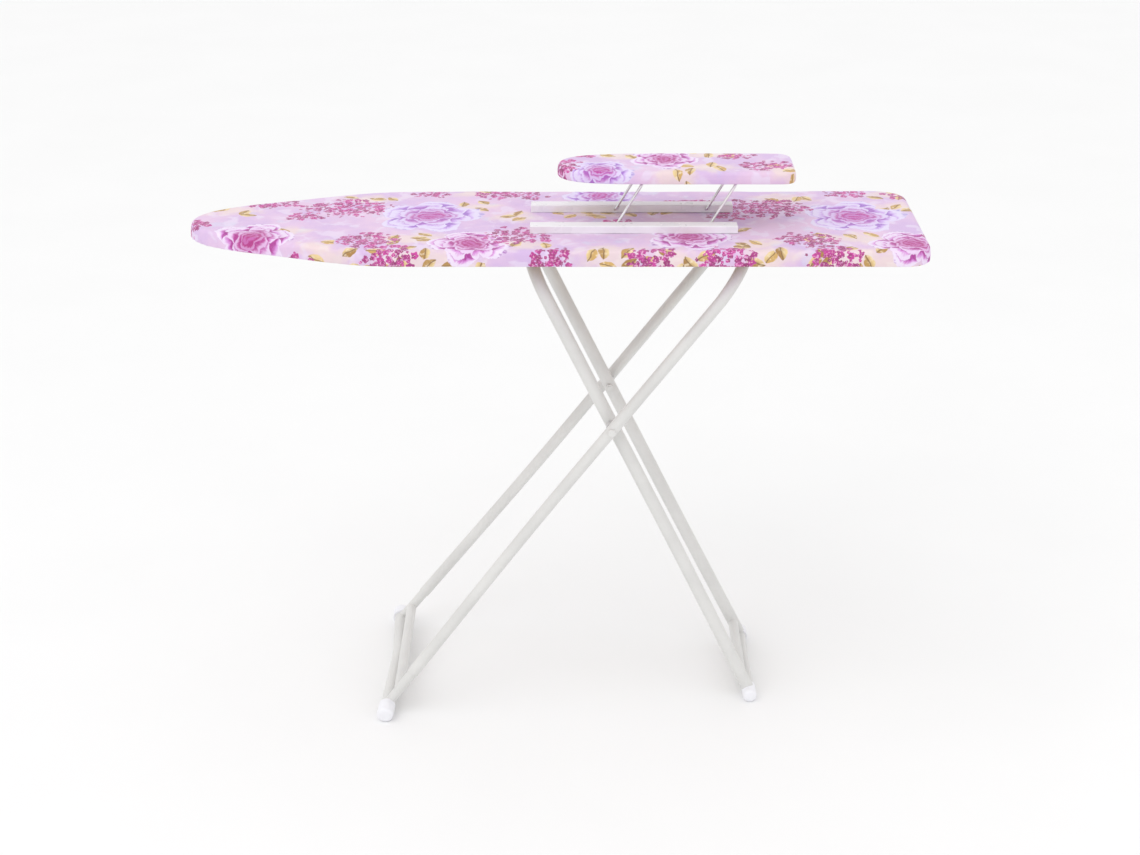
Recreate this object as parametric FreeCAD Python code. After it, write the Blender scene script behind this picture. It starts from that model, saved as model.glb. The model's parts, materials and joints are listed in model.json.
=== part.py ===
import FreeCAD, Part
import math
import os

# Folding ironing board with a fold-down sleeve board, in millimetres.
# X runs from the pointed nose (-X) to the square tail (+X), Y across the board, Z up.
# The origin is on the floor, under the middle of the board, with the legs set up.

V = FreeCAD.Vector

# ---------------------------------------------------------------- driving dimensions
BOARD_LENGTH = 1100.0
BOARD_TOP = 774.0
COVER_CLOTH = 1.0
BOARD_PAD = 8.0
BOARD_PANEL = 14.0
TAIL_CORNER = 38.0
HEM_WIDTH = 42.0
HEM_CORNER = 12.0
BOARD_EDGE_ROUND = 5.0
# Nose outline: Bezier curves from the tip, each pole a distance back from it and a half width.
BOARD_NOSE = [[(0.0, 0.0), (0.0, 27.0), (15.0, 61.0), (110.0, 94.0)],
              [(110.0, 94.0), (201.0, 125.5), (247.0, 155.0), (330.0, 155.0)]]
NOSE_STEPS = 8

# Scissor legs, seen from the front. A lean is the slope of x against height.
SCISSOR_X = 86.4
SCISSOR_Z = 473.9
OUTER_LEAN = 0.771
INNER_LEAN = -0.488
OUTER_HINGE_Z = 736.0
INNER_BAR_Z = 725.0

OUTER_TUBE_R = 9.0
INNER_TUBE_R = 10.0
TUBE_WALL = 1.2
OUTER_HALF_GAUGE = 112.0
INNER_HALF_GAUGE = 79.0
OUTER_TOP_BEND = 80.0
INNER_TOP_BEND = 55.0
OUTER_SPLAY_Z = 320.0
INNER_SPLAY_Z = 260.0
OUTER_FOOT_GAUGE = 143.0
INNER_FOOT_GAUGE = 92.0
SPLAY_BEND = 2500.0
INSERT_STEP_Z = 69.0
INSERT_PLUG = 40.0

BRACE_R = 8.0
OUTER_FOOT = {"half": 167.0, "tube_r": 10.5, "cap_r": 13.2, "rise": 16.0, "z": 13.0, "brace_up": 33.8}
INNER_FOOT = {"half": 105.0, "tube_r": 9.0, "cap_r": 11.2, "rise": 8.0, "z": 11.0, "brace_up": 31.0}
FOOT_BEND = 200.0
CAP_OVERLAP = 20.0
CAP_END = 10.0
CAP_ROUND = 6.0

PIVOT_BOLT_R = 3.0
BOLT_HEAD = {"r": 6.5, "tall": 3.5, "dome": 2.5}
PIVOT_SPACER_R = 8.0
PIVOT_NUT = {"r": 5.5, "tall": 5.0}
BOLT_STICKS_OUT = 1.0
RUNNING = 0.05
SIDE_GAP = 0.4

# Sleeve board, its two bails and the two rails that it stands on.
SLEEVE_X = (5.0, 357.0)
SLEEVE_Y = -5.0
SLEEVE_BOTTOM = 846.0
SLEEVE_PAD = 6.0
SLEEVE_PANEL = 10.0
SLEEVE_CORNER = 18.0
SLEEVE_HEM = 16.0
SLEEVE_EDGE_ROUND = 4.0
SLEEVE_NOSE = [[(0.0, 0.0), (0.0, 50.0), (60.0, 55.0), (138.0, 55.0)]]

RAIL_X = (-36.5, 272.0)
RAIL_Y = (-59.0, 48.0)
RAIL_WIDTH = 22.0
RAIL_HEIGHT = 11.5
RAIL_WALL = 2.0
RAIL_ROUND = 2.0
BAIL_WIRE_R = 2.0
BAIL_LEG_Y = (-45.0, 34.0)
BAIL_PIN_X = (92.0, 231.0)
BAIL_PIN_Z = 779.0
BAIL_LEAN = 0.6
BAIL_TOP_Z = 842.5
BAIL_PIN_LENGTH = 9.0
BAIL_BEND = 5.0
BAIL_PIN_BEND = 2.5

# Hinge saddles under the board.
SADDLE_Y = 18.0
SADDLE_HALF_WIDTH = 8.0
SADDLE_REACH = 26.0
SADDLE_SHEET = 2.0
SADDLE_SCREW_X = 18.5

# Clips under the sleeve board.
CLIP_Y = 22.0
CLIP_HALF_WIDTH = 5.0
CLIP_REACH = 13.0
CLIP_SHEET = 1.2
CLIP_SCREW_X = 8.5
CLIP_SCREW_DEEP = 7.0

# Height guide, rack and lock under the board.
GUIDE_R = 2.5
GUIDE_Y = 12.5
GUIDE_X = (-342.0, -15.0)
GUIDE_BEND = 10.0
GUIDE_GAP = 0.5
FOOT_PLATE = (24.0, 14.0, 3.0)
FOOT_PLATE_OUT = 8.0
FOOT_SCREW_OUT = 5.0
RACK_X = (-158.0, -30.0)
RACK_WIDTH = 24.0
RACK_THICK = 3.0
RACK_STEPS = 5
RACK_PITCH = 22.0
RACK_WINDOW = (13.0, 17.0)
RACK_SCREW_IN = (7.0, 5.0)
LOCK_WIDTH = 16.0
LOCK_RING_R = 13.5
LOCK_PAWL_R = 27.4
LOCK_PAWL_DEG = 160.0
LOCK_HANDLE_R = 37.0
LOCK_HANDLE_DEG = 205.0
LOCK_TURN_DEG = 45.0
LOCK_ARM_ROOT = 8.0
LOCK_ARM_HALF = 7.0
LOCK_PAWL_TIP = 2.5
LOCK_HANDLE_TIP = 3.0

SCREW_R = 2.0
SCREW_HEAD_R = 3.6
SCREW_HEAD = 2.0
SCREW_DEEP = 10.0

# ---------------------------------------------------------------- derived dimensions
PANEL_BOTTOM = BOARD_TOP - COVER_CLOTH - BOARD_PAD - BOARD_PANEL
BOARD_BOTTOM = PANEL_BOTTOM - COVER_CLOTH
SLEEVE_PANEL_BOTTOM = SLEEVE_BOTTOM + COVER_CLOTH
NOSE_X = -BOARD_LENGTH / 2
TAIL_X = BOARD_LENGTH / 2
OUTER_HINGE_X = SCISSOR_X + OUTER_LEAN * (OUTER_HINGE_Z - SCISSOR_Z)
INNER_BAR_X = SCISSOR_X + INNER_LEAN * (INNER_BAR_Z - SCISSOR_Z)


# ---------------------------------------------------------------- helpers
def box(low, high):
    """Box between two opposite corners."""
    size = [b - a for a, b in zip(low, high)]
    return Part.makeBox(size[0], size[1], size[2], V(*low))


def cylinder(radius, start, end):
    """Solid cylinder from one point to another."""
    run = end.sub(start)
    return Part.makeCylinder(radius, run.Length, start, run)


def fuse_all(shapes):
    """One clean solid from shapes that touch or overlap."""
    result = shapes[0]
    for shape in shapes[1:]:
        result = result.fuse(shape)
    return result.removeSplitter()


def rounded_path(points, radii):
    """Wire of straight runs joined by tangent arcs; one radius for each inner point."""
    edges = []
    start = points[0]
    for before, corner, after, radius in zip(points, points[1:], points[2:], radii):
        to_before = before.sub(corner).normalize()
        to_after = after.sub(corner).normalize()
        half_angle = to_before.getAngle(to_after) / 2
        tangent = radius / math.tan(half_angle)
        arc_start = corner.add(to_before.multiply(tangent))
        arc_end = corner.add(to_after.multiply(tangent))
        middle = arc_start.add(arc_end).multiply(0.5).sub(corner).normalize()
        depth = radius / math.sin(half_angle) - radius
        arc_middle = corner.add(middle.multiply(depth))
        edges.append(Part.LineSegment(start, arc_start).toShape())
        edges.append(Part.Arc(arc_start, arc_middle, arc_end).toShape())
        start = arc_end
    edges.append(Part.LineSegment(start, points[-1]).toShape())
    return Part.Wire(edges)


def sweep(path, radius):
    """Round rod along a path."""
    first = path.Edges[0]
    start = first.valueAt(first.FirstParameter)
    direction = first.tangentAt(first.FirstParameter)
    circle = Part.Wire(Part.makeCircle(radius, start, direction))
    return path.makePipeShell([circle], True, False)


def tube(path, radius):
    """Round tube along a path, open at its ends."""
    return sweep(path, radius).cut(sweep(path, radius - TUBE_WALL))


def across(radius, x, z, y0, y1):
    """Cylinder along Y."""
    return cylinder(radius, V(x, y0, z), V(x, y1, z))


def screw_from_below(x, y, top_z, head_z):
    """Pan-head screw whose head hangs under head_z and whose tip is at top_z."""
    head = cylinder(SCREW_HEAD_R, V(x, y, head_z - SCREW_HEAD), V(x, y, head_z))
    shank = cylinder(SCREW_R, V(x, y, head_z), V(x, y, top_z))
    return head.fuse(shank).removeSplitter()


def export(name, shape):
    """Write one node."""
    shape.exportStep(os.path.join("parts", name + ".step"))


# ---------------------------------------------------------------- board-shaped solids
def nose_points(nose, inset):
    """Points along one side of a nose, tip first, moved in from the outline by inset."""
    points = []
    for poles in nose:
        curve = Part.BezierCurve()
        curve.setPoles([V(d, w, 0) for d, w in poles])
        for step in range(NOSE_STEPS):
            share = step / NOSE_STEPS
            along = curve.tangent(share)[0]
            points.append(curve.value(share).add(V(along.y, -along.x, 0).multiply(inset)))
    side, half = nose[-1][-1]
    return points + [V(side, half - inset, 0)]


def board_face(tip_x, tail_x, centre_y, nose, corner, inset):
    """Flat face of a board: curved nose, straight sides, tail with round corners."""
    outline = nose_points(nose, inset)
    back = [V(tip_x + p.x, centre_y + p.y, 0) for p in outline]
    front = [V(p.x, 2 * centre_y - p.y, 0) for p in reversed(back[1:])]
    curve = Part.BSplineCurve()
    curve.interpolate(front + back)
    low = front[0].y
    high = back[-1].y
    side_x = front[0].x
    end_x = tail_x - inset
    radius = corner - inset
    corner_x = end_x - radius
    slant = radius * math.sqrt(0.5)
    edges = [
        curve.toShape(),
        Part.LineSegment(V(side_x, high, 0), V(corner_x, high, 0)).toShape(),
        Part.Arc(V(corner_x, high, 0), V(corner_x + slant, high - radius + slant, 0),
                 V(end_x, high - radius, 0)).toShape(),
        Part.LineSegment(V(end_x, high - radius, 0), V(end_x, low + radius, 0)).toShape(),
        Part.Arc(V(end_x, low + radius, 0), V(corner_x + slant, low + radius - slant, 0),
                 V(corner_x, low, 0)).toShape(),
        Part.LineSegment(V(corner_x, low, 0), V(side_x, low, 0)).toShape(),
    ]
    return Part.Face(Part.Wire(edges))


def slab(face, low, high):
    """Face extruded between two heights."""
    solid = face.extrude(V(0, 0, high - low))
    solid.translate(V(0, 0, low))
    return solid


def round_rim(solid, z, radius):
    """Round the edges that lie at one height."""
    rim = [e for e in solid.Edges if abs(e.BoundBox.ZMin - z) < 0.01 and abs(e.BoundBox.ZMax - z) < 0.01]
    return solid.makeFillet(radius, rim)


def narrowed(nose, amount):
    """Nose poles for an outline that is narrower on each side by amount."""
    half = nose[-1][-1][1]
    return [[(d, w * (half - amount) / half) for d, w in poles] for poles in nose]


def padded_board(face_at, hem_face, bottom, panel_thick, pad_thick, edge_round):
    """Panel, pad and cloth cover of a board; the cover wraps under the panel as a hem."""
    panel_low = bottom + COVER_CLOTH
    panel_high = panel_low + panel_thick
    pad_high = panel_high + pad_thick
    panel = slab(face_at(COVER_CLOTH), panel_low, panel_high)
    pad = round_rim(slab(face_at(COVER_CLOTH), panel_high, pad_high), pad_high, edge_round)
    skin = round_rim(slab(face_at(0), bottom, pad_high + COVER_CLOTH),
                     pad_high + COVER_CLOTH, edge_round + COVER_CLOTH)
    opening = slab(hem_face, bottom, panel_low)
    cover = skin.cut(fuse_all([panel, pad])).cut(opening)
    return panel, pad, cover


def main_board_face(inset):
    return board_face(NOSE_X, TAIL_X, 0.0, BOARD_NOSE, TAIL_CORNER, inset)


def sleeve_board_face(inset):
    return board_face(SLEEVE_X[0], SLEEVE_X[1], SLEEVE_Y, SLEEVE_NOSE, SLEEVE_CORNER, inset)


def main_hem_face():
    """Opening inside the hem under the main board."""
    nose = narrowed(BOARD_NOSE, HEM_WIDTH)
    return board_face(NOSE_X + HEM_WIDTH, TAIL_X - HEM_WIDTH, 0.0, nose, HEM_CORNER, 0.0)


def sleeve_hem_face():
    """Opening inside the hem under the sleeve board."""
    nose = narrowed(SLEEVE_NOSE, SLEEVE_HEM)
    return board_face(SLEEVE_X[0] + SLEEVE_HEM, SLEEVE_X[1] - SLEEVE_HEM, SLEEVE_Y, nose, HEM_CORNER, 0.0)


# ---------------------------------------------------------------- legs
class Leg:
    """One bent leg. In its plane s runs down the leg from the top bar, and y across."""

    def __init__(self, top_x, top_z, lean, tube_r, gauge, foot_gauge, splay_z, top_bend, foot):
        self.top = V(top_x, 0, top_z)
        self.down = V(-lean, 0, -1).normalize()
        self.tube_r = tube_r
        self.gauge = gauge
        self.top_bend = top_bend
        self.foot = foot
        self.splay_s = self.s_at_height(splay_z)
        self.foot_s = self.s_at_height(foot["z"])
        self.splay = (foot_gauge - gauge) / (self.foot_s - self.splay_s)

    def at(self, s, y):
        """Point in the leg's plane."""
        return self.top.add(V(self.down).multiply(s)).add(V(0, y, 0))

    def s_at_height(self, z):
        return (z - self.top.z) / self.down.z

    def on_side(self, s, side):
        """Point on the splayed lower stretch of the front (-1) or back (+1) tube."""
        return self.at(s, side * (self.gauge + self.splay * (s - self.splay_s)))

    def path(self, end_s):
        """Centre line of the bent tube, from end_s on the front side over the top bar."""
        points = [self.on_side(end_s, -1), self.on_side(self.splay_s, -1), self.at(0, -self.gauge),
                  self.at(0, self.gauge), self.on_side(self.splay_s, 1), self.on_side(end_s, 1)]
        return rounded_path(points, [SPLAY_BEND, self.top_bend, self.top_bend, SPLAY_BEND])

    def foot_path(self):
        """Centre line of the arched foot bar."""
        half = self.foot["half"]
        points = [self.at(self.foot_s, -half), self.at(self.foot_s - self.foot["rise"], 0),
                  self.at(self.foot_s, half)]
        return rounded_path(points, [FOOT_BEND])

    def foot_rod(self):
        return sweep(self.foot_path(), self.foot["tube_r"])

    def foot_bar(self):
        return tube(self.foot_path(), self.foot["tube_r"])

    def foot_cap(self, side, sides_solid):
        """Plastic cap on one end of the foot bar, notched for the leg, with a flat on the floor."""
        end = self.at(self.foot_s, side * self.foot["half"])
        outward = end.sub(self.at(self.foot_s - self.foot["rise"], 0)).normalize()
        start = end.sub(V(outward).multiply(CAP_OVERLAP))
        tip = end.add(V(outward).multiply(CAP_END))
        cap = cylinder(self.foot["cap_r"], start, tip)
        rim = min((e for e in cap.Edges if e.isClosed()),
                  key=lambda e: e.CenterOfMass.sub(tip).Length)
        cap = cap.makeFillet(CAP_ROUND, [rim])
        room = 2 * (CAP_OVERLAP + self.foot["cap_r"])
        below = box((end.x - room, end.y - room, -room), (end.x + room, end.y + room, 0))
        bar_end = cylinder(self.foot["tube_r"], V(start).sub(outward), end)
        return largest(cap.cut(bar_end).cut(below).cut(sides_solid))

    def brace(self, sides_solid):
        """Straight cross tube between the two sides, just above the foot bar."""
        s = self.foot_s - self.foot["brace_up"]
        path = Part.Wire(Part.LineSegment(self.on_side(s, -1), self.on_side(s, 1)).toShape())
        return largest(tube(path, BRACE_R).cut(sides_solid))


def largest(shape):
    """The main solid of a shape, without the offcuts."""
    return max(shape.Solids, key=lambda piece: piece.Volume)


def make_outer_leg():
    """Wide leg, hinged under the tail half of the board, with plugged-in lower ends."""
    leg = Leg(OUTER_HINGE_X, OUTER_HINGE_Z, OUTER_LEAN, OUTER_TUBE_R, OUTER_HALF_GAUGE,
              OUTER_FOOT_GAUGE, OUTER_SPLAY_Z, OUTER_TOP_BEND, OUTER_FOOT)
    step_s = leg.s_at_height(INSERT_STEP_Z)
    upper = tube(leg.path(step_s), OUTER_TUBE_R)
    insert_r = OUTER_TUBE_R - TUBE_WALL
    inserts = []
    rods = []
    for side in (-1, 1):
        ends = (leg.on_side(step_s - INSERT_PLUG, side), leg.on_side(leg.foot_s, side))
        rod = cylinder(insert_r, *ends)
        inserts.append(largest(rod.cut(cylinder(insert_r - TUBE_WALL, *ends)).cut(leg.foot_rod())))
        rods.append(rod)
    return leg, upper, inserts, fuse_all(rods)


def make_inner_leg():
    """Narrow leg, whose top bar runs in the guide under the nose half of the board."""
    leg = Leg(INNER_BAR_X, INNER_BAR_Z, INNER_LEAN, INNER_TUBE_R, INNER_HALF_GAUGE,
              INNER_FOOT_GAUGE, INNER_SPLAY_Z, INNER_TOP_BEND, INNER_FOOT)
    path = leg.path(leg.foot_s)
    return leg, largest(tube(path, INNER_TUBE_R).cut(leg.foot_rod())), sweep(path, INNER_TUBE_R)


def make_pivot(side):
    """Bolt, spacer and nut that join the outer and inner tube on one side."""
    outer_face = side * (OUTER_HALF_GAUGE + OUTER_TUBE_R)
    outer_inside = side * (OUTER_HALF_GAUGE - OUTER_TUBE_R)
    inner_face = side * (INNER_HALF_GAUGE + INNER_TUBE_R)
    inner_inside = side * (INNER_HALF_GAUGE - INNER_TUBE_R)
    nut_near = inner_inside - side * SIDE_GAP
    nut_far = nut_near - side * PIVOT_NUT["tall"]
    bolt_end = nut_far - side * BOLT_STICKS_OUT
    head_top = outer_face + side * BOLT_HEAD["tall"]
    head = across(BOLT_HEAD["r"], SCISSOR_X, SCISSOR_Z, outer_face, head_top)
    top_edge = min((e for e in head.Edges if e.isClosed()), key=lambda e: abs(e.CenterOfMass.y - head_top))
    head = head.makeFillet(BOLT_HEAD["dome"], [top_edge])
    shank = across(PIVOT_BOLT_R, SCISSOR_X, SCISSOR_Z, outer_face, bolt_end)
    bolt = head.fuse(shank).removeSplitter()
    spacer = across(PIVOT_SPACER_R, SCISSOR_X, SCISSOR_Z, outer_inside, inner_face + side * SIDE_GAP)
    nut = across(PIVOT_NUT["r"], SCISSOR_X, SCISSOR_Z, nut_near, nut_far)
    return bolt, spacer.cut(shank), nut.cut(shank)


# ---------------------------------------------------------------- hardware under the board
def saddle(x, y, z, bore, sheet, half_width, reach, top):
    """Sheet-metal strap under a panel: a U round a bar along Y, with a flange each side."""
    wall = bore + sheet
    y0, y1 = y - half_width, y + half_width
    outside = across(wall, x, z, y0, y1).fuse(box((x - wall, y0, z), (x + wall, y1, top)))
    inside = across(bore, x, z, y0, y1).fuse(box((x - bore, y0, z), (x + bore, y1, top)))
    flange = box((x - reach, y0, top - sheet), (x + reach, y1, top))
    return fuse_all([outside, flange]).cut(inside)


def make_hinge_saddle(y):
    """Saddle that holds the outer leg's top bar under the panel."""
    return saddle(OUTER_HINGE_X, y, OUTER_HINGE_Z, OUTER_TUBE_R + RUNNING, SADDLE_SHEET,
                  SADDLE_HALF_WIDTH, SADDLE_REACH, PANEL_BOTTOM)


def hinge_screw_points():
    return [(OUTER_HINGE_X + dx, y) for dx in (-SADDLE_SCREW_X, SADDLE_SCREW_X)
            for y in (-SADDLE_Y, SADDLE_Y)]


def guide_foot_points(y):
    """Middle of the plate on each end of a guide rod."""
    return [(GUIDE_X[0] - FOOT_PLATE_OUT, y), (GUIDE_X[1] + FOOT_PLATE_OUT, y)]


def make_guide_rod(y):
    """Bent rod under the panel; the inner leg's top bar slides above it."""
    low = INNER_BAR_Z - INNER_TUBE_R - GUIDE_GAP - GUIDE_R
    top = PANEL_BOTTOM - FOOT_PLATE[2]
    points = [V(GUIDE_X[0], y, top), V(GUIDE_X[0], y, low), V(GUIDE_X[1], y, low), V(GUIDE_X[1], y, top)]
    rod = sweep(rounded_path(points, [GUIDE_BEND, GUIDE_BEND]), GUIDE_R)
    plates = [box((x - FOOT_PLATE[0] / 2, y - FOOT_PLATE[1] / 2, top),
                  (x + FOOT_PLATE[0] / 2, y + FOOT_PLATE[1] / 2, PANEL_BOTTOM))
              for x, y in guide_foot_points(y)]
    return fuse_all([rod] + plates)


def guide_screw_points():
    """One screw through each plate, clear of the rod."""
    return [(x + dx, y) for y in (-GUIDE_Y, GUIDE_Y)
            for (x, _), dx in zip(guide_foot_points(y), (-FOOT_SCREW_OUT, FOOT_SCREW_OUT))]


def make_rack():
    """Flat ladder strip; the lock's tooth enters one of its windows."""
    low = PANEL_BOTTOM - RACK_THICK
    strip = box((RACK_X[0], -RACK_WIDTH / 2, low), (RACK_X[1], RACK_WIDTH / 2, PANEL_BOTTOM))
    engaged = math.radians(LOCK_PAWL_DEG - LOCK_TURN_DEG)
    first_x = INNER_BAR_X + LOCK_PAWL_R * math.cos(engaged)
    for step in range(RACK_STEPS):
        x = first_x - step * RACK_PITCH
        strip = strip.cut(box((x - RACK_WINDOW[0] / 2, -RACK_WINDOW[1] / 2, low),
                              (x + RACK_WINDOW[0] / 2, RACK_WINDOW[1] / 2, PANEL_BOTTOM)))
    return strip


def rack_screw_points():
    return [(RACK_X[0] + RACK_SCREW_IN[0], 0.0), (RACK_X[1] - RACK_SCREW_IN[1], 0.0)]


def polar(radius, degrees, side):
    """Point around the inner leg's top bar, offset sideways from the radial line."""
    angle = math.radians(degrees)
    x = INNER_BAR_X + radius * math.cos(angle) - side * math.sin(angle)
    z = INNER_BAR_Z + radius * math.sin(angle) + side * math.cos(angle)
    return V(x, -LOCK_WIDTH / 2, z)


def lock_arm(reach, degrees, half_tip):
    """Outline of a tapered arm that leaves the ring."""
    return [polar(LOCK_ARM_ROOT, degrees, -LOCK_ARM_HALF), polar(reach, degrees, -half_tip),
            polar(reach, degrees, half_tip), polar(LOCK_ARM_ROOT, degrees, LOCK_ARM_HALF)]


def make_lock_lever():
    """Moulded lever that turns on the inner leg's top bar: a ring, a tooth and a handle."""
    ring = across(LOCK_RING_R, INNER_BAR_X, INNER_BAR_Z, -LOCK_WIDTH / 2, LOCK_WIDTH / 2)
    tooth = lock_arm(LOCK_PAWL_R, LOCK_PAWL_DEG, LOCK_PAWL_TIP)
    handle = lock_arm(LOCK_HANDLE_R, LOCK_HANDLE_DEG, LOCK_HANDLE_TIP)
    arms = []
    for outline in (tooth, handle):
        face = Part.Face(Part.makePolygon(outline + outline[:1]))
        arms.append(face.extrude(V(0, LOCK_WIDTH, 0)))
    bore = across(INNER_TUBE_R + RUNNING, INNER_BAR_X, INNER_BAR_Z, -LOCK_WIDTH, LOCK_WIDTH)
    return fuse_all([ring] + arms).cut(bore)


# ---------------------------------------------------------------- sleeve board
def make_rail(y):
    """Channel rail, open below, closed at its ends."""
    half = RAIL_WIDTH / 2
    low, high = BOARD_TOP, BOARD_TOP + RAIL_HEIGHT
    outside = round_rim(box((RAIL_X[0], y - half, low), (RAIL_X[1], y + half, high)), high, RAIL_ROUND)
    inside = box((RAIL_X[0] + RAIL_WALL, y - half + RAIL_WALL, low),
                 (RAIL_X[1] - RAIL_WALL, y + half - RAIL_WALL, high - RAIL_WALL))
    rail = outside.cut(inside)
    inner_y = y - half if y > SLEEVE_Y else y + half
    for x in BAIL_PIN_X:
        rail = rail.cut(across(BAIL_WIRE_R + RUNNING, x, BAIL_PIN_Z, inner_y - 2 * RAIL_WALL,
                               inner_y + 2 * RAIL_WALL))
    return rail


def bail_top_x(pin_x):
    return pin_x + BAIL_LEAN * (BAIL_TOP_Z - BAIL_PIN_Z)


def make_bail(pin_x):
    """U-bent wire: two legs, a top bar under the sleeve board, pins that enter the rails."""
    top_x = bail_top_x(pin_x)
    front, back = BAIL_LEG_Y
    points = [V(pin_x, front - BAIL_PIN_LENGTH, BAIL_PIN_Z), V(pin_x, front, BAIL_PIN_Z),
              V(top_x, front, BAIL_TOP_Z), V(top_x, back, BAIL_TOP_Z),
              V(pin_x, back, BAIL_PIN_Z), V(pin_x, back + BAIL_PIN_LENGTH, BAIL_PIN_Z)]
    bends = [BAIL_PIN_BEND, BAIL_BEND, BAIL_BEND, BAIL_PIN_BEND]
    return sweep(rounded_path(points, bends), BAIL_WIRE_R)


def clip_centres(pin_x):
    """The two clips on one bail's top bar."""
    middle = sum(BAIL_LEG_Y) / 2
    return [(bail_top_x(pin_x), middle - CLIP_Y), (bail_top_x(pin_x), middle + CLIP_Y)]


def make_clips(pin_x):
    """Pair of saddle clips that hold a bail's top bar under the sleeve panel."""
    return [saddle(x, y, BAIL_TOP_Z, BAIL_WIRE_R + RUNNING, CLIP_SHEET, CLIP_HALF_WIDTH, CLIP_REACH,
                   SLEEVE_PANEL_BOTTOM)
            for x, y in clip_centres(pin_x)]


def clip_screw_points(pin_x):
    return [(x + dx, y) for x, y in clip_centres(pin_x) for dx in (-CLIP_SCREW_X, CLIP_SCREW_X)]


# ---------------------------------------------------------------- build
def build():
    nodes = {}
    panel, pad, cover = padded_board(main_board_face, main_hem_face(), BOARD_BOTTOM,
                                     BOARD_PANEL, BOARD_PAD, BOARD_EDGE_ROUND)

    saddles = {"front": make_hinge_saddle(-SADDLE_Y), "back": make_hinge_saddle(SADDLE_Y)}
    rods = {"front": make_guide_rod(-GUIDE_Y), "back": make_guide_rod(GUIDE_Y)}
    rack = make_rack()
    tip = PANEL_BOTTOM + SCREW_DEEP
    screws = {
        "hinge_saddle_screws": [screw_from_below(x, y, tip, PANEL_BOTTOM - SADDLE_SHEET)
                                for x, y in hinge_screw_points()],
        "guide_rod_screws": [screw_from_below(x, y, tip, PANEL_BOTTOM - FOOT_PLATE[2])
                             for x, y in guide_screw_points()],
        "height_rack_screws": [screw_from_below(x, y, tip, PANEL_BOTTOM - RACK_THICK)
                               for x, y in rack_screw_points()],
    }
    all_screws = Part.makeCompound([s for group in screws.values() for s in group])
    nodes["board_panel"] = panel.cut(all_screws)
    nodes["board_pad"] = pad
    nodes["board_cover"] = cover
    nodes["height_rack"] = rack.cut(all_screws)
    for side in ("front", "back"):
        nodes["hinge_saddle_" + side] = saddles[side].cut(all_screws)
        nodes["guide_rod_" + side] = rods[side].cut(all_screws)
    for name, group in screws.items():
        nodes[name] = Part.makeCompound(group)

    outer, outer_tube, inserts, outer_solid = make_outer_leg()
    inner, inner_tube, inner_solid = make_inner_leg()
    for name, side, insert in (("front", -1, inserts[0]), ("back", 1, inserts[1])):
        bolt, spacer, nut = make_pivot(side)
        outer_tube = outer_tube.cut(bolt)
        inner_tube = inner_tube.cut(across(PIVOT_BOLT_R + RUNNING, SCISSOR_X, SCISSOR_Z,
                                           side * (INNER_HALF_GAUGE - INNER_TUBE_R),
                                           side * (INNER_HALF_GAUGE + INNER_TUBE_R)))
        nodes["pivot_bolt_" + name] = bolt
        nodes["pivot_spacer_" + name] = spacer.cut(outer_tube)
        nodes["pivot_nut_" + name] = nut
        nodes["outer_leg_insert_" + name] = insert
        nodes["outer_foot_cap_" + name] = outer.foot_cap(side, outer_solid)
        nodes["inner_foot_cap_" + name] = inner.foot_cap(side, inner_solid)
    nodes["outer_leg_tube"] = outer_tube
    nodes["outer_leg_brace"] = outer.brace(outer_solid)
    nodes["outer_foot_bar"] = outer.foot_bar()
    nodes["inner_leg_tube"] = inner_tube
    nodes["inner_leg_brace"] = inner.brace(inner_solid)
    nodes["inner_foot_bar"] = inner.foot_bar()
    nodes["lock_lever"] = make_lock_lever()

    sleeve_panel, sleeve_pad, sleeve_cover = padded_board(
        sleeve_board_face, sleeve_hem_face(), SLEEVE_BOTTOM, SLEEVE_PANEL, SLEEVE_PAD, SLEEVE_EDGE_ROUND)
    clip_screws = [screw_from_below(x, y, SLEEVE_PANEL_BOTTOM + CLIP_SCREW_DEEP,
                                    SLEEVE_PANEL_BOTTOM - CLIP_SHEET)
                   for pin_x in BAIL_PIN_X for x, y in clip_screw_points(pin_x)]
    all_clip_screws = Part.makeCompound(clip_screws)
    nodes["sleeve_panel"] = sleeve_panel.cut(all_clip_screws)
    nodes["sleeve_pad"] = sleeve_pad
    nodes["sleeve_cover"] = sleeve_cover
    nodes["sleeve_clip_screws"] = all_clip_screws
    nodes["sleeve_rail_front"] = make_rail(RAIL_Y[0])
    nodes["sleeve_rail_back"] = make_rail(RAIL_Y[1])
    for name, pin_x in zip(("nose", "tail"), BAIL_PIN_X):
        nodes["sleeve_bail_" + name] = make_bail(pin_x)
        clips = [clip.cut(all_clip_screws) for clip in make_clips(pin_x)]
        nodes["sleeve_clips_" + name] = Part.makeCompound(clips)
    return nodes


os.makedirs("parts", exist_ok=True)
for node, shape in sorted(build().items()):
    export(node, shape)
    print(node, "solids", len(shape.Solids), "valid", shape.isValid(),
          "volume", round(shape.Volume / 1000, 2), "cm3")
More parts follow.
